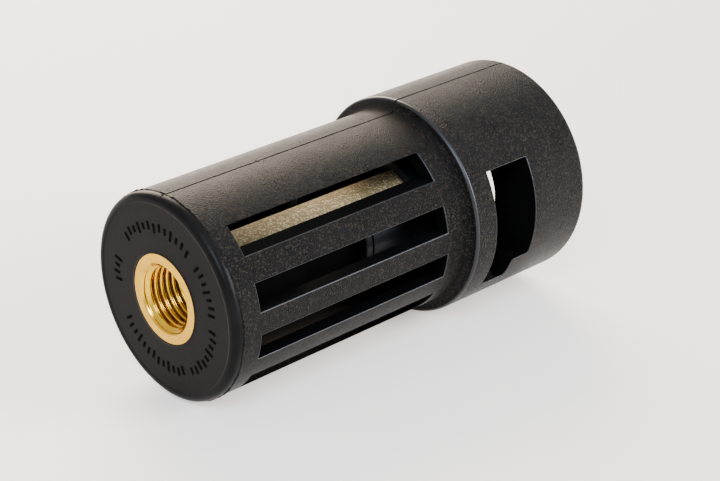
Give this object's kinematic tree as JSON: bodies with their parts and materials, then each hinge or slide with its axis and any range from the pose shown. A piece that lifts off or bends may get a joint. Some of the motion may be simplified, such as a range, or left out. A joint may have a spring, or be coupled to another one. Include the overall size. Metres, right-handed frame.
{
  "type": "bayonet hose adapter",
  "caption": "Bayonet to pipe-thread adapter: slotted round black housing, brass threaded insert, wide collar with stepped bayonet windows and a sprung inner sleeve.",
  "frame": {"origin": "centre of the inlet thread's mouth on the front face", "axes": "the adapter's axis is Y: the inlet thread's mouth faces -Y, the bayonet socket opens towards +Y, and +Z is where the mould's parting line runs"},
  "size_m": [0.0444, 0.0895, 0.0444],
  "materials": {
    "black_nylon": "spark-eroded grain, satin",
    "black_acetal": "smooth satin",
    "brass": "turned bright at the thread, sand-blasted on the barrel",
    "stainless": "drawn and tumbled",
    "seal_rubber": "matte",
    "white_ptfe": "smooth"
  },
  "bodies": {
    "housing": {"housing": "black_nylon", "inlet_core": "brass", "inlet_seal": "seal_rubber", "seat_washer": "stainless", "thrust_spring": "stainless", "retaining_ring": "stainless", "backup_ring": "white_ptfe", "spigot_oring": "seal_rubber"},
    "thrust_sleeve": {"thrust_sleeve": "black_acetal"}
  },
  "joints": [
    {"name": "sleeve_slide", "type": "slide", "parent": "housing", "child": "thrust_sleeve", "axis": [0, -1, 0], "range_m": [0, 0.0045], "stiffness_N_per_m": 1500, "springref_m": -0.002, "deforming": ["thrust_spring"]}
  ]
}
